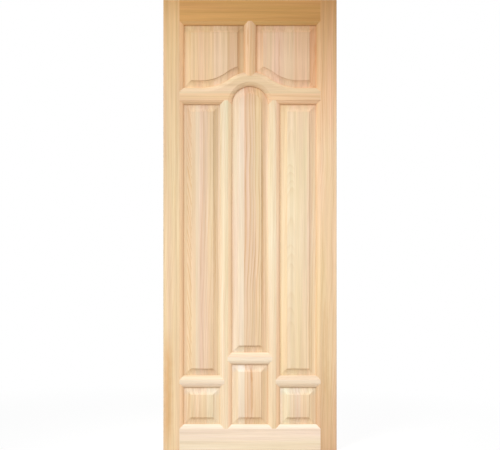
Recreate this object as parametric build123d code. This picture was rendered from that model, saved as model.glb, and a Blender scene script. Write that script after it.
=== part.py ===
from build123d import *
from math import acos, cos, degrees, hypot, radians, sin, sqrt
import os

# Panelled softwood door leaf, sizes in millimetres.
# X runs across the leaf from the hinge edge, Z up from the bottom edge, and the front looks towards -Y.
# Both faces are worked alike, so a section is drawn once and mirrored about the middle of the thickness.

# Leaf
leaf_width = 762.0
leaf_height = 1981.0
leaf_thickness = 44.0

# Frame members, measured out to the borders of the panel openings
stile_width = 89.0
mullion_width = 51.0
top_rail_height = 111.0
bottom_rail_height = 113.0
lower_rail_height = 53.0
centre_lower_rail_base = 376.0
side_lower_rail_base = 275.0

# Arched rail: the arch springs from its lower border, and the crown above is struck from the same centre
top_panel_height = 275.0
arched_rail_band = 74.0
crown_band = 64.0
shoulder_radius = 215.0

# Rounded moulding worked along the borders
moulding_width = 18.0
moulding_drop = 11.0
moulding_bulge = 1.0

# Panel groove and the tongue that slides in it
groove_width = 15.0
groove_depth = 12.0
expansion_gap = 2.0

# Raised panels
bevel_width = 31.0
bevel_hollow = 2.4
field_recess = 1.5
field_step = 2.2

# Cutters run past the wood by this much
run_past = 1.0

half_thickness = leaf_thickness / 2
half_groove = groove_width / 2
half_field = half_thickness - field_recess
half_mullion = mullion_width / 2
tongue_length = groove_depth - expansion_gap
column_width = (leaf_width - 2 * stile_width - 2 * mullion_width) / 3
arch_radius = column_width / 2
crown_radius = arch_radius + crown_band

left_border = stile_width
right_border = leaf_width - stile_width
centre_x = leaf_width / 2
centre_left = centre_x - arch_radius
centre_right = centre_x + arch_radius
top_border = leaf_height - top_rail_height
bottom_border = bottom_rail_height
shoulder_level = top_border - top_panel_height
arch_spring = shoulder_level - arched_rail_band

# Rails start and end under the flat of the stiles, where their ends ride over the stile moulding
rail_start = left_border - moulding_width
rail_end = right_border + moulding_width

# The shoulder arc touches the level border beside it and the crown arc above it
arc_centre_gap = crown_radius + shoulder_radius
shoulder_rise = arched_rail_band + shoulder_radius
shoulder_reach = sqrt(arc_centre_gap ** 2 - shoulder_rise ** 2)
shoulder_angle = degrees(acos(shoulder_rise / arc_centre_gap))
left_shoulder = (centre_x - shoulder_reach, arch_spring + shoulder_rise)
right_shoulder = (centre_x + shoulder_reach, arch_spring + shoulder_rise)
arch_centre = (centre_x, arch_spring)


def bulged_arc(start, end, bulge):
    """Arc that stands off its chord by the bulge, to the left of the way it runs."""
    across, up = end[0] - start[0], end[1] - start[1]
    chord = hypot(across, up)
    middle_across = (start[0] + end[0]) / 2 - bulge * up / chord
    middle_up = (start[1] + end[1]) / 2 + bulge * across / chord
    return ThreePointArc(start, (middle_across, middle_up), end)


def both_faces(section):
    """Section for one face with its mirror image for the other."""
    return section + mirror(section, about=Plane.XZ)


def moulding_section():
    """Waste outside the moulding, with the groove. The first axis goes into the wood from its border."""
    lip = (0, half_thickness - moulding_drop)
    arris = (moulding_width, half_thickness)
    above = half_thickness + run_past
    outside = Polyline(arris, (moulding_width, above), (-run_past, above), (-run_past, lip[1]), lip)
    waste = make_face(bulged_arc(lip, arris, moulding_bulge) + outside)
    groove = Pos((groove_depth - run_past) / 2, 0) * Rectangle(groove_depth + run_past, groove_width)
    return both_faces(waste) + groove


def bevel_section():
    """Waste outside the tongue, the hollow bevel and the step up to the raised field."""
    foot = (0, half_groove)
    head = (bevel_width, half_field - field_step)
    above = half_field + run_past
    tongue_end = -tongue_length - run_past
    outside = Polyline(head, (bevel_width, above), (tongue_end, above), (tongue_end, half_groove), foot)
    return both_faces(make_face(bulged_arc(foot, head, -bevel_hollow) + outside))


def straight_cut(section, start, end):
    """Section carried along a straight border, with the wood on the left of the way it runs."""
    across, up = end[0] - start[0], end[1] - start[1]
    plane = Plane(origin=(start[0], 0, start[1]), x_dir=(-up, 0, across), z_dir=(across, 0, up))
    return extrude(plane * section, amount=hypot(across, up))


def round_cut(section, centre, radius, start_angle, sweep, wood_outside):
    """Section carried round an arc, anticlockwise as the front is seen."""
    across, up = cos(radians(start_angle)), sin(radians(start_angle))
    side = 1 if wood_outside else -1
    start = (centre[0] + radius * across, 0, centre[1] + radius * up)
    plane = Plane(origin=start, x_dir=(side * across, 0, side * up), z_dir=(-up, 0, across))
    axis = Axis((centre[0], 0, centre[1]), (0, -1, 0))
    return revolve(plane * section, axis=axis, revolution_arc=sweep)


def ogee_cuts(section, wood_above):
    """Section carried along the upper border of the arched rail, from stile to stile."""
    left_run = [(rail_start, shoulder_level), (left_shoulder[0], shoulder_level)]
    right_run = [(right_shoulder[0], shoulder_level), (rail_end, shoulder_level)]
    order = 1 if wood_above else -1
    cuts = [straight_cut(section, *run[::order]) for run in (left_run, right_run)]
    for centre, start_angle in ((left_shoulder, -90), (right_shoulder, -90 - shoulder_angle)):
        cuts.append(round_cut(section, centre, shoulder_radius, start_angle, shoulder_angle, not wood_above))
    crown_start = 90 - shoulder_angle
    cuts.append(round_cut(section, arch_centre, crown_radius, crown_start, 2 * shoulder_angle, wood_above))
    return cuts


def box_face(left, right, bottom, top):
    """Upright rectangle between four borders."""
    return Pos((left + right) / 2, (bottom + top) / 2) * Rectangle(right - left, top - bottom)


def ogee_face(sink):
    """Face from the springing up to the arched rail's upper border, which is lowered by the sink."""
    level = shoulder_level - sink
    upper = CenterArc(left_shoulder, shoulder_radius + sink, -90, shoulder_angle)
    upper += CenterArc(arch_centre, crown_radius - sink, 90 - shoulder_angle, 2 * shoulder_angle)
    upper += CenterArc(right_shoulder, shoulder_radius + sink, -90 - shoulder_angle, shoulder_angle)
    left_end = Polyline((left_shoulder[0], level), (rail_start, level), (rail_start, arch_spring))
    right_end = Polyline((rail_end, arch_spring), (rail_end, level), (right_shoulder[0], level))
    base = Line((rail_start, arch_spring), (rail_end, arch_spring))
    return make_face(upper + left_end + base + right_end)


def solid(face, half_depth):
    """Face on the middle plane of the leaf, thickened equally to front and back."""
    return extrude(Plane.XZ * face, amount=half_depth, both=True)


def moulded_bar(left, right, bottom, top, moulded_sides):
    """Full-thickness bar with the moulding and groove along the named sides."""
    corners = {
        "bottom": ((left, bottom), (right, bottom)),
        "right": ((right, bottom), (right, top)),
        "top": ((right, top), (left, top)),
        "left": ((left, top), (left, bottom)),
    }
    bar = solid(box_face(left, right, bottom, top), half_thickness)
    for side in moulded_sides:
        bar -= straight_cut(moulding_section(), *corners[side])
    return bar


def left_stile():
    return moulded_bar(0, left_border, 0, leaf_height, ["right"])


def right_stile():
    return moulded_bar(right_border, leaf_width, 0, leaf_height, ["left"])


def top_rail():
    return moulded_bar(rail_start, rail_end, top_border, leaf_height, ["bottom"]) - stiles


def bottom_rail():
    return moulded_bar(rail_start, rail_end, 0, bottom_border, ["top"]) - stiles


def level_rail():
    """The arched rail before its arch and crown are cut, which the mullion heads are scribed to."""
    return moulded_bar(rail_start, rail_end, arch_spring, shoulder_level, ["bottom"])


def arched_rail():
    rail = solid(ogee_face(0) - Pos(*arch_centre) * Circle(arch_radius), half_thickness)
    rail -= ogee_cuts(moulding_section(), wood_above=False)
    rail -= round_cut(moulding_section(), arch_centre, arch_radius, 0, 180, wood_outside=True)
    rail -= straight_cut(moulding_section(), (rail_start, arch_spring), (centre_left, arch_spring))
    rail -= straight_cut(moulding_section(), (centre_right, arch_spring), (rail_end, arch_spring))
    return rail - stiles


def top_mullion(rails):
    foot = arch_spring + crown_radius - 2 * moulding_width
    bar = moulded_bar(centre_x - half_mullion, centre_x + half_mullion, foot, top_border + moulding_width,
                      ["left", "right"])
    return bar - solid(ogee_face(moulding_width), half_thickness) - rails


def long_mullion(start, bottom_rail_solid):
    foot = bottom_border - moulding_width
    head = arch_spring + moulding_width
    bar = moulded_bar(start, start + mullion_width, foot, head, ["left", "right"])
    return bar - level_rail() - bottom_rail_solid


def lower_rail(start, end, base, posts):
    bar = moulded_bar(start - moulding_width, end + moulding_width, base, base + lower_rail_height,
                      ["bottom", "top"])
    return bar - posts


def panel_blank(face):
    return solid(face, half_field)


def grown_box(left, right, bottom, top):
    """Opening made larger by the tongue on every side."""
    width = right - left + 2 * tongue_length
    height = top - bottom + 2 * tongue_length
    return Pos((left + right) / 2, (bottom + top) / 2) * Rectangle(width, height)


def bevel_run(start, end):
    """Bevel cut along a straight border, carried on to the ends of the tongues."""
    across, up = end[0] - start[0], end[1] - start[1]
    share = (tongue_length + run_past) / hypot(across, up)
    first = (start[0] - share * across, start[1] - share * up)
    last = (end[0] + share * across, end[1] + share * up)
    return straight_cut(bevel_section(), first, last)


def square_panel(left, right, bottom, top):
    panel = panel_blank(grown_box(left, right, bottom, top))
    corners = [(left, bottom), (right, bottom), (right, top), (left, top)]
    for start, end in zip(corners, corners[1:] + corners[:1]):
        panel -= bevel_run(start, end)
    return panel


def top_panel(left, right):
    face = grown_box(left, right, arch_spring, top_border) - ogee_face(tongue_length)
    face -= box_face(0, leaf_width, 0, arch_spring)
    panel = panel_blank(face)
    panel -= bevel_run((right, arch_spring), (right, top_border))
    panel -= bevel_run((right, top_border), (left, top_border))
    panel -= bevel_run((left, top_border), (left, arch_spring))
    return panel - ogee_cuts(bevel_section(), wood_above=True)


def arched_panel(bottom):
    grown_arch = Pos(*arch_centre) * Circle(arch_radius + tongue_length)
    half_sides = arch_radius + tongue_length
    sides = box_face(centre_x - half_sides, centre_x + half_sides, bottom - tongue_length, arch_spring)
    panel = panel_blank(sides + grown_arch)
    panel -= bevel_run((centre_left, bottom), (centre_right, bottom))
    foot = bottom - tongue_length - run_past
    panel -= straight_cut(bevel_section(), (centre_right, foot), (centre_right, arch_spring))
    panel -= straight_cut(bevel_section(), (centre_left, arch_spring), (centre_left, foot))
    return panel - round_cut(bevel_section(), arch_centre, arch_radius, 0, 180, wood_outside=False)


stiles = [left_stile(), right_stile()]
head_rail = top_rail()
foot_rail = bottom_rail()
curved_rail = arched_rail()
left_post = long_mullion(left_border + column_width, foot_rail)
right_post = long_mullion(centre_right, foot_rail)

left_columns = (left_border, left_border + column_width)
right_columns = (right_border - column_width, right_border)
centre_columns = (centre_left, centre_right)
side_lower_rail_top = side_lower_rail_base + lower_rail_height
centre_lower_rail_top = centre_lower_rail_base + lower_rail_height

nodes = {
    "left_stile": stiles[0],
    "right_stile": stiles[1],
    "top_rail": head_rail,
    "bottom_rail": foot_rail,
    "arched_rail": curved_rail,
    "top_mullion": top_mullion([head_rail, curved_rail]),
    "left_mullion": left_post,
    "right_mullion": right_post,
    "left_lower_rail": lower_rail(*left_columns, side_lower_rail_base, [stiles[0], left_post]),
    "centre_lower_rail": lower_rail(*centre_columns, centre_lower_rail_base, [left_post, right_post]),
    "right_lower_rail": lower_rail(*right_columns, side_lower_rail_base, [stiles[1], right_post]),
    "top_left_panel": top_panel(left_border, centre_x - half_mullion),
    "top_right_panel": top_panel(centre_x + half_mullion, right_border),
    "left_tall_panel": square_panel(*left_columns, side_lower_rail_top, arch_spring),
    "centre_tall_panel": arched_panel(centre_lower_rail_top),
    "right_tall_panel": square_panel(*right_columns, side_lower_rail_top, arch_spring),
    "bottom_left_panel": square_panel(*left_columns, bottom_border, side_lower_rail_base),
    "bottom_centre_panel": square_panel(*centre_columns, bottom_border, centre_lower_rail_base),
    "bottom_right_panel": square_panel(*right_columns, bottom_border, side_lower_rail_base),
}

os.makedirs("parts", exist_ok=True)
for name, node in nodes.items():
    export_step(node, f"parts/{name}.step")
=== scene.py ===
# %% [markdown]
# # A panelled pine door leaf
# The subject is a bare softwood door leaf before any hinge, lock or paint. Two stiles and a set of rails
# and mullions hold raised panels in grooves, and every board of the leaf has its own tone of pine. The
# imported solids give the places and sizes, so the first step loads them and notes the box they fill.

# %% Load the solids
import bpy
import numpy as np
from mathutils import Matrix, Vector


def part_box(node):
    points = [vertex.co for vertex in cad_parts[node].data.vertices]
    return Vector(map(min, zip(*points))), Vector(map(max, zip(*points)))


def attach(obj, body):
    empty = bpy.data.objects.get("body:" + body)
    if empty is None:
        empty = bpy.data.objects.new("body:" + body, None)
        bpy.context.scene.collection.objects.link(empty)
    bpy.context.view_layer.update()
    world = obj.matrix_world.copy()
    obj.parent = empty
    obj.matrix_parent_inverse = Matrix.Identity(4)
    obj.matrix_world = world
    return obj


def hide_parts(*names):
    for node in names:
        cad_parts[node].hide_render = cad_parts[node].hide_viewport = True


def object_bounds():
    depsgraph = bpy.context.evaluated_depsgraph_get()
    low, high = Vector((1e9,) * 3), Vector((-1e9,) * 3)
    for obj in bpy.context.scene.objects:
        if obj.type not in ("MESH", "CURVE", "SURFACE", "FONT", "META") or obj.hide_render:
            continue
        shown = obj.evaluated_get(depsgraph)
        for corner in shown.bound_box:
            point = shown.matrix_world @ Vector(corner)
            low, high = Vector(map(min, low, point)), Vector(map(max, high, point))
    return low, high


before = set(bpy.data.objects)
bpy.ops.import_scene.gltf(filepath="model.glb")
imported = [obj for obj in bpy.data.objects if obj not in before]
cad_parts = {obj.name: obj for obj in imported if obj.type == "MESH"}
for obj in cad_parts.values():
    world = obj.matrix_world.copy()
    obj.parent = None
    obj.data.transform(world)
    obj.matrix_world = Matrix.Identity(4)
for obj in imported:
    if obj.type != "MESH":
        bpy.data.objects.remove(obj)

solid_box = [list(corner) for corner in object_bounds()]
print("solids:", len(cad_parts), "box", np.round(solid_box, 4).tolist())

# %% [markdown]
# ## Borders of the frame
# A joiner sets a door out as a rod: a row of lines where each stile, rail and mullion meets its openings.
# The lines could be typed in again, but they are read from the solids, so the two can't drift apart.
# Only the sizes that a box can't show, such as the section of a moulding, are written down as values.

# %% Setting out
leaf_low, leaf_high = (np.array(corner) for corner in solid_box)
half_thick = (leaf_high[1] - leaf_low[1]) / 2
left_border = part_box("left_stile")[1].x
right_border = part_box("right_stile")[0].x
left_post = [corner.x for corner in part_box("left_mullion")]
right_post = [corner.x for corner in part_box("right_mullion")]
top_post = [corner.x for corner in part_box("top_mullion")]
top_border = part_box("top_rail")[0].z
bottom_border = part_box("bottom_rail")[1].z
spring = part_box("arched_rail")[0].z
side_rail = [corner.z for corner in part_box("left_lower_rail")]
middle_rail = [corner.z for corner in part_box("centre_lower_rail")]
middle_x = (left_post[1] + right_post[0]) / 2
arch_radius = (right_post[0] - left_post[1]) / 2
print("openings from", round(left_border, 3), "to", round(right_border, 3))
print("arch radius", round(arch_radius, 4))

# %% [markdown]
# ## The moulding
# The inner edges of the frame are rounded over by a cutter, and a groove below the round takes the panels.
# A bevel modifier could soften a plain edge, but the cutter leaves a small step at the flat, called a
# fillet, and then a shallow arc, so the section is worked out point by point and later carried along every
# border. All sizes are in metres.

# %% Section of the frame
MOULDING_WIDTH = 0.018
MOULDING_DROP = 0.011
MOULDING_BULGE = 0.0014
MOULDING_POINTS = 17
FILLET_WIDTH = 0.0010
FILLET_DROP = 0.0012
GROOVE_DEPTH = 0.012
HALF_GROOVE = 0.0075
EASE_RADIUS = 0.0012


def bulged_arc(start, end, bulge, count):
    """Circular arc whose middle stands off the chord by the bulge, to the left of the way it runs.
    The radius is a quarter of the chord squared plus the bulge squared, over twice the bulge."""
    start, end = np.array(start), np.array(end)
    chord = end - start
    length = np.hypot(*chord)
    left = np.array([-chord[1], chord[0]]) / length
    radius = (length ** 2 / 4 + bulge ** 2) / (2 * bulge)
    centre = (start + end) / 2 + left * (bulge - radius)
    first = np.arctan2(*(start - centre)[::-1])
    last = np.arctan2(*(end - centre)[::-1])
    angle = np.linspace(first, last, count)
    return centre + abs(radius) * np.stack([np.cos(angle), np.sin(angle)], 1)


def eased(height):
    """How far a square arris has fallen back at a height: radius minus the circle's half chord there."""
    rise = np.clip(height - (half_thick - EASE_RADIUS), 0, EASE_RADIUS)
    return EASE_RADIUS - np.sqrt(EASE_RADIUS ** 2 - rise ** 2)


fillet_foot = (MOULDING_WIDTH - FILLET_WIDTH, half_thick - FILLET_DROP)
moulding_foot = (0, half_thick - MOULDING_DROP)
moulding = bulged_arc(fillet_foot, moulding_foot, -MOULDING_BULGE, MOULDING_POINTS)
groove = [(0, HALF_GROOVE), (GROOVE_DEPTH, HALF_GROOVE)]
front_half = np.vstack([[(MOULDING_WIDTH, half_thick)], moulding, groove])
frame_inset = np.concatenate([front_half[:, 0], front_half[::-1, 0]])
frame_depth = np.concatenate([-front_half[:, 1], front_half[::-1, 1]])
frame_ease = eased(np.abs(frame_depth))
print("frame section:", len(frame_inset), "points, arris eased by", EASE_RADIUS)

# %% [markdown]
# ## Carrying a section round a board
# A shaped board is its outline drawn again and again at each depth, moved in or out by the section.
# Extruding and bevelling by hand would need a cut for each mitre, but a corner's own vector does it at
# once: it is the one vector that goes in from both neighbouring edges by what each edge asks for. An edge
# asks for +1 where it is moulded, -1 where it is scribed to fit over another board's moulding, and 0 where
# it is square. For a square that is moulded all round, the vector is (1, 1).

# %% Rings of an outline
LEAST_TURN = 1e-7


def corner_vectors(outline, asks):
    """Vector v at each corner with v . n = ask for the inward normal n of the edge before and the edge after.
    Where the two edges run straight on, v is the common normal times the ask."""
    along = np.roll(outline, -1, 0) - outline
    along /= np.linalg.norm(along, axis=1)[:, None]
    after = np.stack([-along[:, 1], along[:, 0]], 1)
    before = np.roll(after, 1, 0)
    ask_before = np.roll(asks, 1)
    turn = before[:, 0] * after[:, 1] - before[:, 1] * after[:, 0]
    straight = np.abs(turn) < LEAST_TURN
    safe = np.where(straight, 1, turn)
    across = (ask_before * after[:, 1] - asks * before[:, 1]) / safe
    upward = (asks * before[:, 0] - ask_before * after[:, 0]) / safe
    return np.where(straight[:, None], after * asks[:, None], np.stack([across, upward], 1))


def carried_rings(outline, asks, inset, ease, depth):
    """Grid of points: ring k is the outline plus inset k times the moulded corner vectors
    plus ease k times the square ones, laid at depth k."""
    moulded = corner_vectors(outline, asks)
    square = corner_vectors(outline, np.where(asks == 0, 1.0, 0.0))
    flat = outline[None] + inset[:, None, None] * moulded[None] + ease[:, None, None] * square[None]
    level = np.broadcast_to(depth[:, None], flat.shape[:2])
    return np.stack([flat[..., 0], level, flat[..., 1]], 2)


unit_square = np.array([(0, 0), (1, 0), (1, 1), (0, 1)], float)
print("first corner vector of a square:", corner_vectors(unit_square, np.ones(4))[0])

# %% [markdown]
# ## From rings to a mesh
# Neighbouring rings are joined by quads, and one flat face closes the first and the last ring. Smooth
# shading alone would smear the light round the mitres, and flat shading would show every facet of the
# curves. So the mesh is smooth, and its edges are crisp where the faces fold and along every mitre: then
# each side of a board is shaded by its own slope.

# %% Mesh of a board
FOLD = np.radians(26)
MITRE_TURN = np.radians(20)


def mitred(outline):
    """True at each corner where the outline's heading turns by more than the least turn of a mitre."""
    along = np.roll(outline, -1, 0) - outline
    heading = np.arctan2(along[:, 1], along[:, 0])
    turn = (heading - np.roll(heading, 1) + np.pi) % (2 * np.pi) - np.pi
    return np.abs(turn) > MITRE_TURN


def board_mesh(name, rings, turns):
    """Quads from corner j to corner j + 1 between ring k and ring k + 1, and one flat face on the first and
    the last ring. An edge is crisp where its faces meet at more than the fold, or where it runs along a
    mitre."""
    rows, count = rings.shape[:2]
    index = np.arange(rows * count).reshape(rows, count)
    onward = np.roll(index, -1, 1)
    sides = np.stack([index[:-1], index[1:], onward[1:], onward[:-1]], 2).reshape(-1, 4)
    mesh = bpy.data.meshes.new(name)
    faces = sides.tolist() + [index[0].tolist(), index[-1, ::-1].tolist()]
    mesh.from_pydata(rings.reshape(-1, 3).tolist(), [], faces)
    smooth = np.ones(len(mesh.polygons), bool)
    smooth[-2:] = False
    mesh.polygons.foreach_set("use_smooth", smooth)
    mesh.set_sharp_from_angle(angle=FOLD)
    ends = np.empty(2 * len(mesh.edges), int)
    mesh.edges.foreach_get("vertices", ends)
    first, last = ends.reshape(-1, 2).T % count
    crisp = np.empty(len(mesh.edges), bool)
    mesh.edges.foreach_get("use_edge_sharp", crisp)
    mesh.edges.foreach_set("use_edge_sharp", crisp | ((first == last) & turns[first]))
    return mesh


print("mitres of a square:", mitred(unit_square).sum())

# %% [markdown]
# ## Putting a board in its place
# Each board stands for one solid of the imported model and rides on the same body. Nineteen boards could be
# added one by one, but one function does it for all. It also keeps a list of the boards by name, because
# their pine is chosen later.

# %% Placing a board
pieces = {}


def place_board(node, rings, turns):
    """A board of the leaf that stands for one solid, which it hides, and is kept by the solid's name."""
    board = bpy.data.objects.new(node + "_board", board_mesh(node + "_board", rings, turns))
    bpy.context.collection.objects.link(board)
    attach(board, "root")
    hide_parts(node)
    pieces[node] = board
    print(node, "corners:", rings.shape[1], "faces:", len(board.data.polygons))


def frame_board(node, outline, asks):
    """A board with the frame's section on every edge of its outline."""
    outline = np.array(outline)
    rings = carried_rings(outline, np.array(asks, float), frame_inset, frame_ease, frame_depth)
    place_board(node, rings, mitred(outline))


# %% [markdown]
# ## Stiles
# The two stiles are the full-height boards at the sides. The hinges and the lock would be cut into their
# outer edges, which here are plain, with the sharp corner just taken off. Only the inner edge is moulded. A
# cube could be stretched to fit, but an outline and its four asks say the same and also give the moulding.
# Outlines run anticlockwise as seen from the front: bottom, right, top, left.

# %% Stiles
def rectangle(left, right, low, high):
    """Four corners, anticlockwise from the lower left."""
    return [(left, low), (right, low), (right, high), (left, high)]


foot, head = leaf_low[2], leaf_high[2]
frame_board("left_stile", rectangle(leaf_low[0], left_border, foot, head), [0, 1, 0, 0])
frame_board("right_stile", rectangle(right_border, leaf_high[0], foot, head), [0, 0, 0, 1])

# %% [markdown]
# ## Straight rails
# The top and bottom rails close the leaf between the stiles, and three short rails part the tall panels
# from the low ones. Their ends are scribed: cut to the reverse of the moulding so that they sit over it.
# The two mouldings then meet in what looks like a mitre. Cutting one mesh with another would do it too, but
# an ask of -1 at each end gives the same joint with no stray faces.

# %% Straight rails
top_rail_outline = rectangle(left_border, right_border, top_border, head)
frame_board("top_rail", top_rail_outline, [1, -1, 0, -1])
bottom_rail_outline = rectangle(left_border, right_border, foot, bottom_border)
frame_board("bottom_rail", bottom_rail_outline, [0, -1, 1, -1])
for node, left, right, (low, high) in [
    ("left_lower_rail", left_border, left_post[0], side_rail),
    ("centre_lower_rail", left_post[1], right_post[0], middle_rail),
    ("right_lower_rail", right_post[1], right_border, side_rail),
]:
    frame_board(node, rectangle(left, right, low, high), [1, -1, 1, -1])

# %% [markdown]
# ## The arched rail
# One wide rail crosses the leaf below the top panels. Its lower edge is cut to a half circle over the
# middle panel, and its upper edge swells in an ogee above it. The circle and the ogee's crown share one
# centre, so the band between them keeps its width. Either side of the crown a hollow circle leads to the
# level ends.

# %% Curve of the ogee
RAIL_BAND = 0.074
CROWN_BAND = 0.064
SHOULDER_RADIUS = 0.215
crown_radius = arch_radius + CROWN_BAND
shoulder_level = spring + RAIL_BAND
shoulder_lift = RAIL_BAND + SHOULDER_RADIUS
shoulder_reach = np.sqrt((crown_radius + SHOULDER_RADIUS) ** 2 - shoulder_lift ** 2)
turn_reach = shoulder_reach * crown_radius / (crown_radius + SHOULDER_RADIUS)


def ogee(x):
    """Upper border of the rail: the crown circle up to the turn, then a hollow circle that touches the crown
    at the turn and the level end at the shoulder's reach."""
    away = np.abs(x - middle_x)
    crown = spring + np.sqrt(np.clip(crown_radius ** 2 - away ** 2, 0, None))
    short = np.clip(shoulder_reach - away, 0, shoulder_reach - turn_reach)
    shoulder = spring + shoulder_lift - np.sqrt(SHOULDER_RADIUS ** 2 - short ** 2)
    return np.where(away < turn_reach, crown, shoulder)


def ogee_points(x):
    """Points of the upper border over the given stations."""
    return np.stack([x, ogee(x)], 1)


print("ogee turns", round(turn_reach, 4), "and ends", round(shoulder_reach, 4), "from the middle")

# %% [markdown]
# ## Outline of the arched rail
# A curve with a bevel object could draw the arched band, but not the rail's ends, so the same carried
# section is used: only the outline is longer. The first station of the arch stands well away from the
# corner where the arch meets the level edge, because nearer ones would cross over when the section moves
# them.

# %% Arched rail
ARCH_STATIONS = 42
FIRST_STATION = np.radians(11.5)
OGEE_STATIONS = 61
sweep = np.concatenate([[0], np.linspace(FIRST_STATION, np.pi - FIRST_STATION, ARCH_STATIONS), [np.pi]])
arch = np.stack([middle_x - arch_radius * np.cos(sweep), spring + arch_radius * np.sin(sweep)], 1)
ogee_stations = np.linspace(middle_x + shoulder_reach, middle_x - shoulder_reach, OGEE_STATIONS)
arched_outline = np.vstack([
    [(left_border, spring)], arch, [(right_border, spring)],
    [(right_border, shoulder_level)], ogee_points(ogee_stations), [(left_border, shoulder_level)],
])
arched_asks = np.ones(len(arched_outline))
arched_asks[len(arch) + 1] = -1
arched_asks[-1] = -1
frame_board("arched_rail", arched_outline, arched_asks)

# %% [markdown]
# ## Mullions
# Upright bars part the panels: two long ones on either side of the arched panel and a short one between the
# top panels. Both edges are moulded, so little flat is left between them, and both ends are scribed. The
# short one stands on the crown, so its foot is cut to the crown's curve. A straight foot would leave a gap
# there, and three points on the ogee are enough to close it.

# %% Mullions
for node, (left, right) in [("left_mullion", left_post), ("right_mullion", right_post)]:
    frame_board(node, rectangle(left, right, bottom_border, spring), [-1, 1, -1, 1])
crown_foot = ogee_points(np.array([top_post[0], middle_x, top_post[1]]))
top_outline = np.vstack([crown_foot, [(top_post[1], top_border), (top_post[0], top_border)]])
frame_board("top_mullion", top_outline, [-1, -1, 1, -1, 1])

# %% [markdown]
# ## Raised panels
# A panel is a board whose edges are planed to a long hollow bevel, so that the rim is thin enough for the
# groove and the middle, the field, stands up with a small square step round it. It is loose in the groove,
# so that it can swell in damp weather. Its section is one more profile carried round the outline of its
# opening, with a tongue that goes out into the groove.

# %% Section of the panels
BEVEL_WIDTH = 0.031
BEVEL_HOLLOW = 0.0024
FIELD_RECESS = 0.0015
FIELD_STEP = 0.0022
TONGUE = 0.010
FIELD_EASE = 0.0006
BEVEL_POINTS = 11
field_level = half_thick - FIELD_RECESS
round_over = np.radians([90, 60, 30, 0])
field_arris = np.stack([
    BEVEL_WIDTH + FIELD_EASE * (1 - np.cos(round_over)),
    field_level - FIELD_EASE * (1 - np.sin(round_over)),
], 1)
step_foot = (BEVEL_WIDTH, field_level - FIELD_STEP)
bevel = bulged_arc(step_foot, (0, HALF_GROOVE), BEVEL_HOLLOW, BEVEL_POINTS)
panel_half = np.vstack([field_arris, bevel, [(-TONGUE, HALF_GROOVE)]])
panel_inset = np.concatenate([panel_half[:, 0], panel_half[::-1, 0]])
panel_depth = np.concatenate([-panel_half[:, 1], panel_half[::-1, 1]])
print("panel section:", len(panel_inset), "points, field at", round(field_level, 4))


def panel_board(node, outline):
    """A panel with the bevelled section on every edge of its opening."""
    outline = np.array(outline)
    no_ease = np.zeros(len(panel_inset))
    rings = carried_rings(outline, np.ones(len(outline)), panel_inset, no_ease, panel_depth)
    place_board(node, rings, mitred(outline))


# %% [markdown]
# ## Panels below the arched rail
# Three tall panels stand under the arched rail and three low ones on the bottom rail. All are rectangles
# but the middle tall one, whose head is a half circle under the arch. It could be a rectangle with its head
# cut off, but the bevel has to follow the curve, so the curve is part of its outline.

# %% Panels below the arched rail
PANEL_ARCH_STATIONS = 57
panel_board("left_tall_panel", rectangle(left_border, left_post[0], side_rail[1], spring))
panel_board("right_tall_panel", rectangle(right_post[1], right_border, side_rail[1], spring))
panel_board("bottom_left_panel", rectangle(left_border, left_post[0], bottom_border, side_rail[0]))
panel_board("bottom_centre_panel", rectangle(left_post[1], right_post[0], bottom_border, middle_rail[0]))
panel_board("bottom_right_panel", rectangle(right_post[1], right_border, bottom_border, side_rail[0]))
panel_arch = np.linspace(0, np.pi, PANEL_ARCH_STATIONS)
panel_board("centre_tall_panel", np.vstack([
    [(left_post[1], middle_rail[1]), (right_post[0], middle_rail[1])],
    np.stack([middle_x + arch_radius * np.cos(panel_arch), spring + arch_radius * np.sin(panel_arch)], 1),
]))

# %% [markdown]
# ## Top panels
# The two top panels share the ogee as their lower edge. Stations of the curve too near a corner would cross
# over when the section moves them inwards, so the curve starts a bevel's width away from the mullion.

# %% Top panels
CURVE_STATIONS = 36
CORNER_CLEARANCE = 0.001
near_corner = top_post[0] - BEVEL_WIDTH
curve_end = middle_x - (middle_x - near_corner) / (1 + BEVEL_WIDTH / crown_radius)
left_curve = np.linspace(middle_x - shoulder_reach, curve_end - CORNER_CLEARANCE, CURVE_STATIONS)
left_foot = ogee_points(np.concatenate([[left_border], left_curve, [top_post[0]]]))
left_head = [(top_post[0], top_border), (left_border, top_border)]
panel_board("top_left_panel", np.vstack([left_foot, left_head]))
right_foot = ogee_points(np.concatenate([[top_post[1]], 2 * middle_x - left_curve[::-1], [right_border]]))
right_head = [(right_border, top_border), (top_post[1], top_border)]
panel_board("top_right_panel", np.vstack([right_foot, right_head]))

# %% [markdown]
# ## Helpers for the wood
# Pine is drawn with nodes. A node tree could be wired by hand in the editor, but in a script each node
# takes four lines, so a few helpers add a node and fill its sockets: an output is linked and a plain value
# written. Most of what follows is arithmetic on numbers and on vectors, and a colour counts as a vector.

# %% Node helpers
def add(tree, kind, feeds, **settings):
    """Adds a node, sets its properties, and links or writes each socket that is named."""
    node = tree.nodes.new(kind)
    for name, value in settings.items():
        setattr(node, name, value)
    for socket, value in feeds.items():
        if isinstance(value, bpy.types.NodeSocket):
            tree.links.new(value, node.inputs[socket])
        else:
            node.inputs[socket].default_value = value
    return node


def maths(tree, operation, *values):
    """One step of arithmetic on numbers."""
    return add(tree, "ShaderNodeMath", dict(enumerate(values)), operation=operation).outputs[0]


def vectors(tree, operation, *values):
    """One step of arithmetic on vectors or colours."""
    return add(tree, "ShaderNodeVectorMath", dict(enumerate(values)), operation=operation).outputs[0]


def length_of(tree, value):
    """The length of a vector: the root of the sum of its squares."""
    return add(tree, "ShaderNodeVectorMath", {0: value}, operation="LENGTH").outputs["Value"]


def parted(tree, value):
    """The three numbers of a vector."""
    return add(tree, "ShaderNodeSeparateXYZ", {0: value}).outputs


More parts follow.
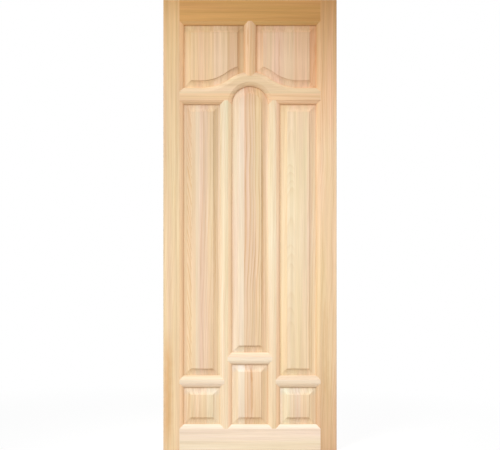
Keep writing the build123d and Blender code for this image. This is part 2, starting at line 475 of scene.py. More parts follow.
# %% [markdown]
# ## Patterns and ranges
# Wood is never even, and noise is the usual way to say so. Image textures would repeat and stretch, but
# noise is worked out at any place in space. Its cells are drawn out along the grain, and its values are
# then carried from the range where most of them lie to the range that a finish needs. A group keeps nodes
# that many boards share in one place.

# %% Patterns and groups
def noise(tree, place, cells, detail, output="Fac"):
    """Cloudy noise with the given number of cells per metre in each direction."""
    spread = vectors(tree, "MULTIPLY", place, cells)
    return add(tree, "ShaderNodeTexNoise", {"Vector": spread, "Scale": 1.0, "Detail": detail}).outputs[output]


def blended(tree, share, first, second):
    """The first colour where the share is 0, the second where it is 1."""
    return add(tree, "ShaderNodeMix", {0: share, 6: first, 7: second}, data_type="RGBA").outputs[2]


def rescaled(tree, value, low, high, to_low, to_high):
    """A number carried from one range to another and held inside it."""
    feeds = {0: value, 1: low, 2: high, 3: to_low, 4: to_high}
    return add(tree, "ShaderNodeMapRange", feeds, clamp=True).outputs[0]


def new_group(name, inputs, outputs):
    """An empty node group with the named sockets."""
    tree = bpy.data.node_groups.new(name, "ShaderNodeTree")
    for label, kind in inputs:
        tree.interface.new_socket(label, in_out="INPUT", socket_type="NodeSocket" + kind)
    for label, kind in outputs:
        tree.interface.new_socket(label, in_out="OUTPUT", socket_type="NodeSocket" + kind)
    return tree, tree.nodes.new("NodeGroupInput").outputs, tree.nodes.new("NodeGroupOutput").inputs


# %% [markdown]
# ## Growth rings
# The figure on a board is a slice through the tree's rings. A flat stripe texture would give parallel
# lines, but a board cut near the heart shows long arches. So the rings are worked out in space: the
# distance from the tree's heart, which sways a little up the trunk, divided by the width of a ring. Where
# the grain runs out at the face, because the saw didn't follow the trunk, the distance also changes along
# the board and the lines slant or stack up in short arches. Each ring goes slowly from pale early wood to a
# dark late line and then stops short, as softwood does. A seed carries each board to another tree.

# %% Growth rings
HEART_ORIGIN = 0.5  # added where the heart's place is kept, since a colour ramp holds no number below zero
TREE_STRIDE = (1.7, 0.9, 2.3)
SLOW_CELLS, SLOW_SWAY = (2.2, 2.2, 2.1), (0.05, 0.05, 0)
QUICK_CELLS, QUICK_SWAY = (24, 24, 9), (0.005, 0.005, 0)
ACROSS_TRUNK = (1, 1, 0)
MIDDLE_GREY = (0.5, 0.5, 0.5)
YEAR_CELLS, YEAR_SWING = 0.45, 2.0
DARKENS, DARKENING = (0.10, 0.86), 2.2
STOPS_SHORT = (0.88, 0.99)
rings_tree, given, told = new_group(
    "growth_rings", [("Place", "Vector"), ("Cut", "Vector"), ("Run out", "Float"), ("Seed", "Float")],
    [("Late wood", "Float"), ("Moved place", "Vector")],
)
aside, behind, ring_width = parted(rings_tree, given["Cut"])
heart_across = maths(rings_tree, "SUBTRACT", aside, HEART_ORIGIN)
heart = add(rings_tree, "ShaderNodeCombineXYZ", {0: heart_across, 1: behind}).outputs[0]
other_tree = vectors(rings_tree, "MULTIPLY", given["Seed"], TREE_STRIDE)
moved = vectors(rings_tree, "ADD", given["Place"], other_tree)
swayed = given["Place"]
for cells, sway in [(SLOW_CELLS, SLOW_SWAY), (QUICK_CELLS, QUICK_SWAY)]:
    cloud = noise(rings_tree, moved, cells, 1.0, "Color")
    either_way = vectors(rings_tree, "SUBTRACT", cloud, MIDDLE_GREY)
    swayed = vectors(rings_tree, "MULTIPLY_ADD", either_way, sway, swayed)
from_heart = vectors(rings_tree, "MULTIPLY", vectors(rings_tree, "SUBTRACT", swayed, heart), ACROSS_TRUNK)
up_trunk = parted(rings_tree, given["Place"])[2]
sliced = maths(rings_tree, "MULTIPLY_ADD", up_trunk, given["Run out"], length_of(rings_tree, from_heart))
years = maths(rings_tree, "DIVIDE", sliced, ring_width)
uneven = add(rings_tree, "ShaderNodeTexNoise", {"W": years, "Scale": YEAR_CELLS, "Detail": 1.0},
             noise_dimensions="1D").outputs["Fac"]
year = maths(rings_tree, "FRACT", maths(rings_tree, "MULTIPLY_ADD", uneven, YEAR_SWING, years))
rise = maths(rings_tree, "POWER", rescaled(rings_tree, year, *DARKENS, 0.0, 1.0), DARKENING)
late = maths(rings_tree, "MULTIPLY", rise, rescaled(rings_tree, year, *STOPS_SHORT, 1.0, 0.0))
rings_tree.links.new(late, told["Late wood"])
rings_tree.links.new(moved, told["Moved place"])
print("rings group:", len(rings_tree.nodes), "nodes")

# %% [markdown]
# ## Planed pine
# On top of the rings a planed board has fine fibres, longer streaks that are duller or brighter than the
# rest, and slow drifts between a pink and a yellow cast. All of them are noise stretched along the grain,
# and one more, a broad one, makes the late lines clearer in some patches than in others.

# %% Fibres, streaks and drifts
FIBRE_CELLS, FIBRE_RANGE = (420, 420, 14), (0.2, 0.8)
STREAK_CELLS, STREAK_RANGE = (75, 75, 1.6), (0.3, 0.7)
DRIFT_CELLS, DRIFT_RANGE = (22, 22, 1.2), (0.35, 0.65)
PATCH_CELLS, PATCH_RANGE = (11, 11, 2.0), (0.3, 0.7)
FAINTEST_PATCH = 0.35
pine_tree, given, told = new_group(
    "planed_pine",
    [("Place", "Vector"), ("Tone", "Color"), ("Cut", "Vector"), ("Figure", "Float"), ("Run out", "Float"),
     ("Seed", "Float")],
    [("Colour", "Color"), ("Roughness", "Float"), ("Height", "Float")],
)
grown = add(pine_tree, "ShaderNodeGroup", {}, node_tree=rings_tree)
for label in ("Place", "Cut", "Run out", "Seed"):
    pine_tree.links.new(given[label], grown.inputs[label])
late, moved = grown.outputs
fibre = noise(pine_tree, moved, FIBRE_CELLS, 2.0)
streak = rescaled(pine_tree, noise(pine_tree, moved, STREAK_CELLS, 3.0), *STREAK_RANGE, 0.0, 1.0)
drift = rescaled(pine_tree, noise(pine_tree, moved, DRIFT_CELLS, 2.0), *DRIFT_RANGE, 0.0, 1.0)
patch = rescaled(pine_tree, noise(pine_tree, moved, PATCH_CELLS, 1.0), *PATCH_RANGE, FAINTEST_PATCH, 1.0)
line = maths(pine_tree, "MULTIPLY", maths(pine_tree, "MULTIPLY", late, patch), given["Figure"])
print("patterns so far:", len(pine_tree.nodes), "nodes")

# %% [markdown]
# ## Colour, roughness and height of the pine
# The patterns only tint the stave's own tone, so one group serves every board. A palette of finished
# colours would do too, but would have to be mixed again for each tone. The late lines are a little smoother
# than the soft wood between them, so the same values drive the roughness and a very fine bump.

# %% Planed pine
DULL, BRIGHT = (0.985, 0.965, 0.930), (1.170, 1.190, 1.235)
YELLOW, PINK = (1.0, 1.03, 0.985), (1.01, 0.985, 1.03)
LATE_TINT = (0.84, 0.70, 0.52)
FIBRE_LIGHT = (0.95, 1.05)
FIBRE_ROUGHNESS = (0.50, 0.64)
LINE_SMOOTHS, LINE_RAISES = -0.10, 0.8
dull, bright = (vectors(pine_tree, "MULTIPLY", given["Tone"], tint) for tint in (DULL, BRIGHT))
streaked = blended(pine_tree, streak, dull, bright)
light = rescaled(pine_tree, fibre, *FIBRE_RANGE, *FIBRE_LIGHT)
fibrous = add(pine_tree, "ShaderNodeVectorMath", {0: streaked, 3: light}, operation="SCALE").outputs[0]
yellow, pink = (vectors(pine_tree, "MULTIPLY", fibrous, tint) for tint in (YELLOW, PINK))
cast = blended(pine_tree, drift, yellow, pink)
late_line = vectors(pine_tree, "MULTIPLY", cast, LATE_TINT)
pine_tree.links.new(blended(pine_tree, line, cast, late_line), told["Colour"])
rough = rescaled(pine_tree, fibre, *FIBRE_RANGE, *FIBRE_ROUGHNESS)
pine_tree.links.new(maths(pine_tree, "MULTIPLY_ADD", line, LINE_SMOOTHS, rough), told["Roughness"])
pine_tree.links.new(maths(pine_tree, "MULTIPLY_ADD", line, LINE_RAISES, fibre), told["Height"])
print("pine group:", len(pine_tree.nodes), "nodes")

# %% [markdown]
# ## Tones
# The leaf isn't one colour: each stave came from another plank, and pine goes from cream through straw and
# honey to amber. One colour with noise on it would look like plastic laminate. The tones are tuned until the
# render looks like the photograph, and named, so that a board can be described in words.

# %% Tones
def tone(red, green, blue):
    """A colour as a screen shows it, 0 to 255, made linear by the usual screen curve."""
    screen = np.array([red, green, blue]) / 255
    return (*np.where(screen <= 0.04045, screen / 12.92, ((screen + 0.055) / 1.055) ** 2.4), 1.0)


cream = tone(233, 213, 187)
ivory = tone(234, 214, 182)
shell = tone(238, 212, 180)
butter = tone(232, 209, 172)
straw = tone(232, 210, 176)
oat = tone(226, 201, 170)
wheat = tone(231, 202, 164)
biscuit = tone(227, 196, 160)
rose = tone(225, 195, 164)
blush = tone(237, 203, 168)
honey = tone(237, 200, 159)
fawn = tone(226, 189, 149)
tan = tone(220, 190, 153)
apricot = tone(235, 184, 140)
amber = tone(214, 159, 92)
light_amber = tone(226, 178, 115)
print("tones from cream", np.round(cream, 3), "to amber", np.round(amber, 3))

# %% [markdown]
# ## Cuts
# How a stave was sawn matters as much as its tone. Cut on the quarter, the heart lies far to its side and
# the lines run straight. Cut flat, the heart lies right behind it and the lines are arches. Each cut could
# be a texture of its own, but five numbers and the growth rings give all of them.

# %% Cuts
def sawn(aside, behind, ring, figure, run_out=0.016):
    """How a stave lay in the tree: its heart aside and behind, the width of a ring and the run-out along each
    metre, all in metres, and the figure, which is how clear its late lines are."""
    return {"aside": aside, "behind": behind, "ring": ring, "figure": figure, "run_out": run_out}


quarter = sawn(0.13, 0.02, 0.0095, 0.50)
rift = sawn(0.08, 0.05, 0.0090, 0.60)
plain = sawn(0.12, 0.03, 0.0090, 0.30)
lined = sawn(0.09, 0.04, 0.0105, 1.00)
flat = sawn(0.00, 0.05, 0.0065, 0.60, run_out=0.05)
faint = sawn(0.003, 0.04, 0.0060, 0.30, run_out=0.07)
slanting = sawn(-0.07, 0.03, 0.0115, 1.20, run_out=0.22)
stacked = sawn(0.006, 0.03, 0.0060, 0.22, run_out=0.22)
quiet = sawn(0.15, 0.04, 0.0080, 0.22)
print("a ring is", 1000 * flat["ring"], "mm in a flat cut,", 1000 * slanting["ring"], "mm in a slanting one")

# %% [markdown]
# ## Glued staves
# Wide boards are glued up from narrower staves, which is why a panel changes colour along straight lines.
# Each stave could be a mesh of its own, but the glued board is one piece, so the staves are drawn: one
# colour ramp with sharp steps holds their tones, and two more hold plain numbers instead of colours, for
# the heart's place, the ring's width, the figure and the run-out.

# %% Glued staves
def ramp(tree, share, stops, interpolation):
    """A ramp through (share, colour) stops, stepped or even between them."""
    node = add(tree, "ShaderNodeValToRGB", {0: share})
    node.color_ramp.interpolation = interpolation
    node.color_ramp.elements.remove(node.color_ramp.elements[1])
    node.color_ramp.elements[0].position = stops[0][0]
    node.color_ramp.elements[0].color = stops[0][1]
    for position, colour in stops[1:]:
        node.color_ramp.elements.new(position).color = colour
    return node.outputs


def stave_cuts(staves, width):
    """Stops of (heart across, heart behind, ring width, figure), one a stave. The heart stands aside of the
    stave's own middle by what its cut says."""
    starts = [stave[0] for stave in staves]
    ends = starts[1:] + [1.0]
    stops = []
    for (start, _, cut), end in zip(staves, ends):
        middle = ((start + end) / 2 - 0.5) * width
        heart_across = middle + cut["aside"] + HEART_ORIGIN
        stops.append((start, (heart_across, cut["behind"], cut["ring"], cut["figure"])))
    return stops


print("a quarter-sawn board keeps its heart as", stave_cuts([(0.0, cream, quarter)], 0.1)[0][1][:2])

# %% [markdown]
# ## Pine for one board
# The grain runs along a board, so a Mapping node centres each board and lays the level ones upright. The
# staves are ramps across it, and one more ramp along it tints it towards its ends: the yellowing of the
# wood and, on some boards, painted light and shade. The inner corners of the leaf are also darker and
# warmer than its faces, and that is painted shade: an ambient occlusion node finds those corners, and the
# colour there is tinted a little.

# %% Pine for one board
SPECULAR = 0.35
# Painted shade in the inner corners: how far the occlusion looks, its tint, the range it fades over, samples.
PAINTED_SHADE_REACH = 0.008
PAINTED_SHADE_TINT = (0.88, 0.75, 0.62)
PAINTED_SHADE_RANGE = (0.25, 0.90)
PAINTED_SHADE_SAMPLES = 6
BUMP_STRENGTH = 0.25
BUMP_HEIGHT = 0.0004
NO_YELLOWING = [(0.0, 1, 1, 1)]


def pine_board(node, staves, seed, level=False, yellowing_and_painted_light=NO_YELLOWING):
    """Pine for one board, with the grain along its length. Staves are (share where it starts, tone, cut),
    counted from the left, or from the top on a level board. Yellowing and painted light are (share, red,
    green, blue), tints that multiply the tones, counted from the foot, or from the left on a level board: the
    wood's own yellowing and, on some boards, painted light and shade."""
    wood = bpy.data.materials.new(node + "_pine")
    wood.use_nodes = True
    tree = wood.node_tree
    low, high = (np.array(end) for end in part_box(node))
    middle = (low + high) / 2
    width, length = (high - low)[[2, 0]] if level else (high - low)[[0, 2]]
    turn = (0.0, np.radians(-90 if level else 0), 0.0)
    shift = (middle[2], 0, -middle[0]) if level else (-middle[0], 0, -middle[2])
    place = add(tree, "ShaderNodeTexCoord", {}).outputs["Object"]
    turned = add(tree, "ShaderNodeMapping", {"Vector": place, "Location": shift, "Rotation": turn}).outputs[0]
    across, _, along = parted(tree, turned)
    share = maths(tree, "MULTIPLY_ADD", across, 1 / width, 0.5)
    share_along = maths(tree, "MULTIPLY_ADD", along, 1 / length, 0.5)
    tones = ramp(tree, share, [(start, colour) for start, colour, _ in staves], "CONSTANT")[0]
    cuts = ramp(tree, share, stave_cuts(staves, width), "CONSTANT")
    run_outs = [(start, (cut["run_out"],) * 3 + (1,)) for start, _, cut in staves]
    tints = [(start, (*tint, 1)) for start, *tint in yellowing_and_painted_light]
    grain = add(tree, "ShaderNodeGroup", {
        "Place": turned, "Seed": seed, "Cut": cuts[0], "Figure": cuts[1],
        "Run out": ramp(tree, share, run_outs, "CONSTANT")[0],
        "Tone": vectors(tree, "MULTIPLY", tones, ramp(tree, share_along, tints, "LINEAR")[0]),
    }, node_tree=pine_tree)
    # Painted shade: where the occlusion node finds an inner corner, the colour is darkened and warmed.
    open_share = add(tree, "ShaderNodeAmbientOcclusion", {"Distance": PAINTED_SHADE_REACH},
                     samples=PAINTED_SHADE_SAMPLES).outputs["AO"]
    painted_shade_colour = vectors(tree, "MULTIPLY", grain.outputs["Colour"], PAINTED_SHADE_TINT)
    painted_shade_share = rescaled(tree, open_share, *PAINTED_SHADE_RANGE, 1.0, 0.0)
    colour_with_painted_shade = blended(tree, painted_shade_share, grain.outputs["Colour"], painted_shade_colour)
    shader = tree.nodes["Principled BSDF"]
    shader.inputs["Specular IOR Level"].default_value = SPECULAR
    tree.links.new(colour_with_painted_shade, shader.inputs["Base Color"])
    tree.links.new(grain.outputs["Roughness"], shader.inputs["Roughness"])
    bump = add(tree, "ShaderNodeBump", {
        "Height": grain.outputs["Height"], "Strength": BUMP_STRENGTH, "Distance": BUMP_HEIGHT,
    }).outputs[0]
    tree.links.new(bump, shader.inputs["Normal"])
    pieces[node].data.materials.append(wood)
    print(node, "staves:", len(staves))
    return tree, shader, turned


# %% [markdown]
# ## Stains and painted shade lines
# Resin and heartwood leave stains that follow the grain without filling a whole stave: a thin brown streak,
# or a broad warm flush. The same kind of line also paints shade along some panels' rims and fields' edges,
# where the frame and the fields' steps shade them. Both could be thin staves, but a stave has sharp sides.
# Each is a line that wavers a little, full at its middle and faded over its half width and towards its
# ends, that tints whatever colour the board already has.

# %% Stains and painted shade lines
WAVER_CELLS, WAVER_RANGE = (3, 3, 22), (0.2, 0.8)
FADED_END = 0.25


def stain_and_painted_shade(wood, across, half_width, low, high, tint, waver=0.006):
    """Tints a finished board near a line that wavers to either side. Across, low and high are metres from the
    board's middle. The share of the tint falls evenly to zero over the half width and over the last quarter
    of the line at each end."""
    tree, shader, turned = wood
    colour = shader.inputs["Base Color"].links[0].from_socket
    aside, _, along = parted(tree, turned)
    sway = rescaled(tree, noise(tree, turned, WAVER_CELLS, 2.0), *WAVER_RANGE, -waver, waver)
    away = maths(tree, "ABSOLUTE", maths(tree, "SUBTRACT", maths(tree, "ADD", aside, sway), across))
    fade = (high - low) * FADED_END
    near = rescaled(tree, away, 0.0, half_width, 1.0, 0.0)
    begun = rescaled(tree, along, low, low + fade, 0.0, 1.0)
    ended = rescaled(tree, along, high - fade, high, 1.0, 0.0)
    share = maths(tree, "MULTIPLY", near, maths(tree, "MULTIPLY", begun, ended))
    tinted = vectors(tree, "MULTIPLY", colour, tint)
    tree.links.new(blended(tree, share, colour, tinted), shader.inputs["Base Color"])
    print("stain_and_painted_shade", round(high - low, 3), "m long")


# %% [markdown]
# ## Stiles and top rail
# The top rail is a deep amber board. The stiles turn amber and darker towards it, and the top rail darkens
# towards its right end: partly the yellowing of old pine, and partly painted shade where the light falls off
# towards the head of the leaf. The right stile also darkens towards its foot. Low down each stile has a
# warm flush of heartwood. A warm lamp could tint the head, but only on the side that it shines on, so the
# tint and the painted shade are in the wood.

# %% Stiles and top rail
# Tints along the stiles: the amber, darker heads are partly yellowing and partly painted shade.
left_yellowing_and_painted_shade = [
    (0.1, 1.0, 1.01, 1.03), (0.62, 0.91, 0.92, 0.91), (0.79, 0.96, 0.90, 0.85),
    (0.89, 1.06, 0.98, 0.85), (0.955, 1.08, 0.93, 0.74), (1.0, 1.0, 0.79, 0.55),
]
right_yellowing_and_painted_shade = [
    (0.0, 0.77, 0.69, 0.63), (0.2, 0.88, 0.87, 0.83), (0.67, 1.07, 1.04, 1.04),
    (0.79, 1.11, 0.96, 0.88), (0.9, 0.98, 0.80, 0.63), (1.0, 0.80, 0.57, 0.33),
]
# The honey stave from 0.80 lies over the moulding that faces away from the light; its warmer colour is
# painted shade.
left_wood = pine_board("left_stile", [
    (0.0, wheat, quarter), (0.36, wheat, rift), (0.60, wheat, quarter), (0.80, honey, quiet),
], 1.0, yellowing_and_painted_light=left_yellowing_and_painted_shade)
stain_and_painted_shade(left_wood, -0.024, 0.028, -1.0, -0.45, (0.89, 0.73, 0.59))
right_wood = pine_board("right_stile", [
    (0.0, wheat, plain), (0.19, wheat, rift), (0.43, wheat, quarter), (0.64, wheat, rift),
    (0.90, wheat, quiet),
], 2.0, yellowing_and_painted_light=right_yellowing_and_painted_shade)
stain_and_painted_shade(right_wood, -0.002, 0.016, -0.85, -0.30, (0.93, 0.88, 0.83))
# The lighter amber stave from 0.84 lies over the underside moulding and is painted light that lifts its
# shade.
pine_board("top_rail", [(0.0, amber, plain), (0.84, light_amber, plain)], 3.0, level=True,
           yellowing_and_painted_light=[(0.0, 1.06, 1.07, 1.10), (0.5, 1, 1, 1), (1.0, 0.97, 0.93, 0.92)])

# %% [markdown]
# ## Inner rails and mullions
# The short rails and the bottom rail are the palest boards of the leaf. The arched rail was too wide for
# one plank, so it is glued from two, with the pinker one below, and a duller band follows the top of its
# crown. On a level board the distance across is counted downwards, so a line near the top has a number
# below zero. The pinker stave on the right of each long mullion is painted shade on the moulding there.

# %% Inner rails and mullions
arch_wood = pine_board("arched_rail", [(0.0, wheat, quiet), (0.667, honey, quarter)], 5.0, level=True,
                       yellowing_and_painted_light=[(0.0, 0.95, 0.96, 0.94), (0.5, 1.03, 1.01, 1.0), (1.0, 1.0, 0.98, 0.95)])
stain_and_painted_shade(arch_wood, -0.068, 0.024, -0.13, 0.13, (0.87, 0.79, 0.79), waver=0.002)
pine_board("bottom_rail", [(0.0, cream, quiet)], 4.0, level=True,
           yellowing_and_painted_light=[(0.0, 1.03, 1.07, 1.15), (1.0, 1.0, 1.03, 1.08)])
pale = [(0.0, 1.02, 1.07, 1.10)]
pine_board("left_lower_rail", [(0.0, oat, quiet), (0.36, cream, plain)], 9.0, level=True, yellowing_and_painted_light=pale)
pine_board("centre_lower_rail", [(0.0, rose, quiet), (0.36, cream, plain)], 10.0, level=True, yellowing_and_painted_light=pale)
pine_board("right_lower_rail", [(0.0, oat, stacked), (0.36, cream, quiet)], 11.0, level=True,
           yellowing_and_painted_light=[(0.0, 0.97, 1.0, 1.0)])
top_post_wood = pine_board("top_mullion", [(0.0, honey, rift)], 6.0, yellowing_and_painted_light=[(0.0, 1.03, 1.0, 0.96)])
stain_and_painted_shade(top_post_wood, -0.010, 0.004, 0.0, 0.10, (0.80, 0.68, 0.52), waver=0.001)
# On each long mullion the blush stave from 0.70 lies over the right-hand moulding: painted shade.
pine_board("left_mullion", [(0.0, ivory, quarter), (0.70, blush, quiet)], 7.0, yellowing_and_painted_light=[
    (0.3, 1.0, 1.01, 1.02), (0.57, 0.96, 0.95, 0.95), (1.0, 0.98, 1.02, 1.01),
])
pine_board("right_mullion", [(0.0, ivory, quiet), (0.5, ivory, rift), (0.70, blush, quiet)], 8.0, yellowing_and_painted_light=[
    (0.0, 0.91, 0.89, 0.79), (0.3, 0.96, 0.96, 0.94), (0.57, 1.01, 1.04, 1.10),
    (1.0, 1.03, 0.97, 0.94),
])

# %% [markdown]
# ## Pine of the top panels
# Every panel is glued from four to eight staves, and no two panels match. The two at the top darken towards
# the head like the stiles, over the upper bevel, and that is painted shade under the top rail. Thin darker
# lines beside the fields are painted shade too, and a glue line in the right one is a stain. They could be
# thin staves, but they fade at their sides, so they are drawn as lines as above.

# %% Pine of the top panels
top_left = pine_board("top_left_panel", [
    (0.0, honey, quiet), (0.221, honey, plain), (0.496, blush, plain), (0.703, fawn, plain),
], 12.0, yellowing_and_painted_light=[
    (0.45, 1.04, 1.06, 1.07), (0.83, 0.98, 0.95, 0.88), (0.90, 0.84, 0.80, 0.70),
])
# Painted shade: one line along the rim by the stile, one along the field's right edge.
stain_and_painted_shade(top_left, -0.1330, 0.010, -0.25, 0.25, (0.74, 0.64, 0.52), waver=0.001)
stain_and_painted_shade(top_left, 0.1095, 0.009, -0.25, 0.25, (0.80, 0.68, 0.56), waver=0.001)
top_right = pine_board("top_right_panel", [
    (0.0, honey, plain), (0.152, blush, plain), (0.397, blush, quiet), (0.626, honey, plain),
    (0.86, apricot, flat),
], 13.0, yellowing_and_painted_light=[
    (0.42, 1.03, 1.01, 1.05), (0.72, 0.95, 0.89, 0.88), (0.83, 0.94, 0.87, 0.84),
    (0.90, 0.84, 0.76, 0.67),
])
stain_and_painted_shade(top_right, -0.0300, 0.003, -0.14, 0.12, (0.84, 0.74, 0.62), waver=0.002)
# Painted shade along the rim by the top mullion.
stain_and_painted_shade(top_right, -0.1300, 0.010, -0.25, 0.25, (0.74, 0.64, 0.52), waver=0.001)

# %% [markdown]
# ## Pine of the tall panels
# In the left panel the grain runs out in a narrow stave at the left, where the late lines are slanting
# strokes. The middle one has the clearest lines and darkens under the arch. The right one is the palest,
# with a stave of faint arches at the left of its field. Each could have a texture of its own kind, but only
# the cuts differ. The left and right ones darken at their heads over the upper bevel, and darker lines run
# along the right edges of the left and middle fields and along the middle one's left rim: all painted shade.

# %% Pine of the tall panels
# The darker tints at the heads of the left and right panels are painted shade over the upper bevel.
left_tall = pine_board("left_tall_panel", [
    (0.0, tan, quiet), (0.14, biscuit, slanting), (0.25, biscuit, quiet), (0.345, oat, quiet),
    (0.452, rose, rift), (0.641, biscuit, rift), (0.80, tan, rift), (0.90, straw, quiet),
], 14.0, yellowing_and_painted_light=[
    (0.2, 1.0, 1.02, 1.05), (0.78, 0.91, 0.92, 0.92), (0.96, 0.94, 0.93, 0.93),
    (0.98, 0.91, 0.87, 0.86),
])
# Painted shade along the field's right edge.
stain_and_painted_shade(left_tall, 0.0563, 0.005, -0.30, 0.28, (0.86, 0.78, 0.70), waver=0.003)
centre_tall = pine_board("centre_tall_panel", [
    (0.0, cream, quiet), (0.354, rose, lined), (0.633, wheat, lined), (0.80, biscuit, quarter),
    (0.90, straw, quiet),
], 15.0, yellowing_and_painted_light=[
    (0.1, 0.98, 1.0, 1.01), (0.45, 0.96, 0.97, 0.98), (0.72, 0.99, 1.01, 1.04),
    (0.9, 1.02, 0.98, 0.95),
])
# Painted shade along the field's right edge, then along the left rim by the mullion.
stain_and_painted_shade(centre_tall, 0.0550, 0.007, -0.60, 0.45, (0.80, 0.70, 0.60), waver=0.002)
stain_and_painted_shade(centre_tall, -0.0800, 0.018, -0.75, 0.75, (0.84, 0.76, 0.64), waver=0.001)
stain_and_painted_shade(centre_tall, 0.0, 0.25, 0.49, 0.80, (0.89, 0.79, 0.72))
pine_board("right_tall_panel", [
    (0.0, butter, quiet), (0.2325, ivory, faint), (0.407, straw, quiet), (0.72, shell, rift),
], 16.0, yellowing_and_painted_light=[
    (0.2, 0.94, 0.91, 0.88), (0.5, 0.97, 0.96, 0.98), (0.78, 0.97, 0.94, 0.92),
    (0.96, 1.0, 0.92, 0.87), (0.98, 0.95, 0.82, 0.74),
])

# %% [markdown]
# ## Pine of the low panels
# The three low panels turn a little greyer and cooler at the head, over the upper bevel, and that is painted
# cool light from above. A streak of resin runs down the middle of the centre one. It is darker near its head.
# A ramp along it would do that too, but two stains, one on the other, need nothing new.

# %% Pine of the low panels
# Painted cool light: the tints at each low panel's head lie over its upper bevel.
pine_board("bottom_left_panel", [
    (0.0, wheat, rift), (0.447, wheat, quarter), (0.617, straw, rift), (0.85, butter, quiet),
], 17.0, yellowing_and_painted_light=[(0.74, 0.98, 1.01, 1.05), (0.85, 0.93, 1.0, 1.15)])
resinous = pine_board("bottom_centre_panel", [
    (0.0, straw, quiet), (0.21, cream, quiet), (0.369, biscuit, rift), (0.60, biscuit, quarter),
], 18.0, yellowing_and_painted_light=[(0.84, 0.98, 1.0, 1.05), (0.90, 0.93, 0.98, 1.14)])
stain_and_painted_shade(resinous, 0.0065, 0.008, -0.11, 0.13, (0.84, 0.72, 0.60), waver=0.002)
stain_and_painted_shade(resinous, 0.0055, 0.007, 0.05, 0.13, (0.86, 0.73, 0.62), waver=0.002)
pine_board("bottom_right_panel", [
    (0.0, ivory, quarter), (0.288, oat, rift), (0.552, wheat, rift), (0.85, tan, quiet),
], 19.0, yellowing_and_painted_light=[(0.74, 0.97, 1.0, 1.05), (0.85, 0.92, 1.03, 1.16)])

# %% [markdown]
# ## Floor
# The leaf stands upright on pale paper. The paper could simply be lit until it is white, but that would
# wash the wood out, so it gives off white itself wherever the camera or a reflection looks at it. Near the
# leaf a share of it stays matt and takes the leaf's shadow, and farther off it is all white, so no horizon
# shows. To the light that bounces it is a tawny floor, which is why the undersides of the mouldings are
# warm.

# %% Floor
def looked_at(tree):
    """One where a ray comes from the camera, a reflection or glass, and zero for the light that bounces."""
    ray = add(tree, "ShaderNodeLightPath", {}).outputs
    seen = maths(tree, "MAXIMUM", ray["Is Camera Ray"], ray["Is Glossy Ray"])
    return maths(tree, "MAXIMUM", seen, ray["Is Transmission Ray"])


PAPER_REACH = 8.0
PAPER_ROUGHNESS = 0.9
NEAR_GLOW = 0.86
SHADOW_CORE, SHADOW_REACH = 0.5, 2.5
TAWNY, PALE, WHITE = (0.60, 0.485, 0.37, 1), (0.97, 0.93, 0.89, 1), (1, 1, 1, 1)
floor = bpy.data.objects.new("floor", bpy.data.meshes.new("floor"))
corners = np.array([(-1, -1, 0), (1, -1, 0), (1, 1, 0), (-1, 1, 0)]) * PAPER_REACH
floor.data.from_pydata(corners.tolist(), [], [(0, 1, 2, 3)])
bpy.context.collection.objects.link(floor)
paper = bpy.data.materials.new("studio_paper")
paper.use_nodes = True
tree = paper.node_tree
matt = tree.nodes["Principled BSDF"]
matt.inputs["Roughness"].default_value = PAPER_ROUGHNESS
matt.inputs["Specular IOR Level"].default_value = 0.0
seen = looked_at(tree)
tree.links.new(blended(tree, seen, TAWNY, PALE), matt.inputs["Base Color"])
white = add(tree, "ShaderNodeEmission", {"Color": WHITE, "Strength": 1.0}).outputs[0]
away = length_of(tree, add(tree, "ShaderNodeTexCoord", {}).outputs["Object"])
glow = maths(tree, "MULTIPLY", seen, rescaled(tree, away, SHADOW_CORE, SHADOW_REACH, NEAR_GLOW, 1.0))
mixed = add(tree, "ShaderNodeMixShader", {0: glow, 1: matt.outputs[0], 2: white}).outputs[0]
tree.links.new(mixed, tree.nodes["Material Output"].inputs["Surface"])
floor.data.materials.append(paper)
print("floor:", 2 * PAPER_REACH, "m square")

# %% [markdown]
# ## Soft light from all round
# A studio's pale walls light the leaf evenly from every side. Walls could be built, but the world does the
# same at a moderate strength and a little cool, against the warmth of the floor. It is plain white only
# where it is looked at, so the background stays clean without more light on the wood.

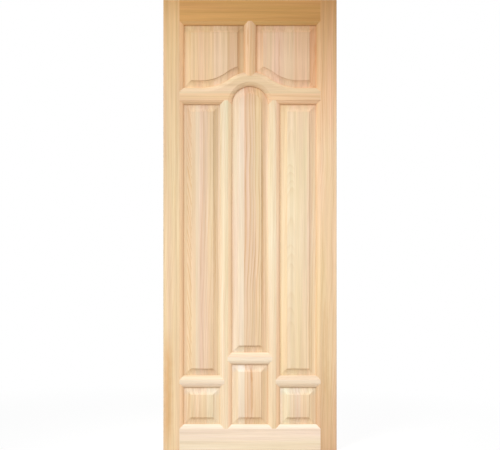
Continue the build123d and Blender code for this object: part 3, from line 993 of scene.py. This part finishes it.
# %% World
FILL = 0.615
COOL = (0.92, 1.0, 1.07, 1)
world = bpy.data.worlds.new("studio")
world.use_nodes = True
bpy.context.scene.world = world
tree = world.node_tree
backdrop = tree.nodes["Background"]
seen = looked_at(tree)
tree.links.new(blended(tree, seen, COOL, WHITE), backdrop.inputs["Color"])
tree.links.new(rescaled(tree, seen, 0.0, 1.0, FILL, 1.0), backdrop.inputs["Strength"])
print("fill strength", FILL)

# %% [markdown]
# ## Softboxes
# One softbox stands high in front of the leaf and to the left, as the shading of the mouldings asks: their
# upper edges are bright, their lower edges dark, and their right edges a little darker than their left. Its
# spread is narrow and aimed low, so the light falls off gently towards the head of the leaf. A weaker one
# stands behind, so that the back can be looked at too. The leaf itself keeps its light off the front.

# %% Softboxes
from mathutils import Vector

SOFTBOX_SIZE = 1.1
SOFTBOX_SPREAD = np.radians(45)


def softbox(name, place, aim, power):
    """A square lamp that looks from its place to its aim."""
    lamp = bpy.data.lights.new(name, "AREA")
    lamp.size = SOFTBOX_SIZE
    lamp.energy = power
    lamp.spread = SOFTBOX_SPREAD
    stand = bpy.data.objects.new(name, lamp)
    stand.location = place
    stand.rotation_euler = (Vector(aim) - Vector(place)).to_track_quat("-Z", "Y").to_euler()
    bpy.context.collection.objects.link(stand)
    print(name, "at", place, power, "W")


softbox("key_softbox", place=(-0.85, -3.0, 3.4), aim=(0.525, 0, 0.38), power=10.1)
softbox("back_softbox", place=(1.6, 3.0, 3.4), aim=(0.30, 0, 0.50), power=7.0)

# %% [markdown]
# ## Camera
# The leaf is seen square on, from the middle of its height, and fills the picture from foot to head. The
# lens could be found by trying, but it follows from that: the picture is as wide as the leaf's height times
# the picture's own proportions.

# %% Camera
DISTANCE = 6.1
PICTURE = 500 / 450
SENSOR = 36.0
camera = bpy.data.cameras.new("front_camera")
eye = bpy.data.objects.new("front_camera", camera)
bpy.context.collection.objects.link(eye)
eye.location = ((leaf_low[0] + leaf_high[0]) / 2, leaf_low[1] - DISTANCE, (foot + head) / 2)
eye.rotation_euler = (np.radians(90), 0, 0)
camera.sensor_width = SENSOR
camera.lens = SENSOR * DISTANCE / ((head - foot - 2 * EASE_RADIUS) * PICTURE)
bpy.context.scene.camera = eye
bpy.context.scene.view_settings.view_transform = "Standard"
print("lens", round(camera.lens, 1), "mm")
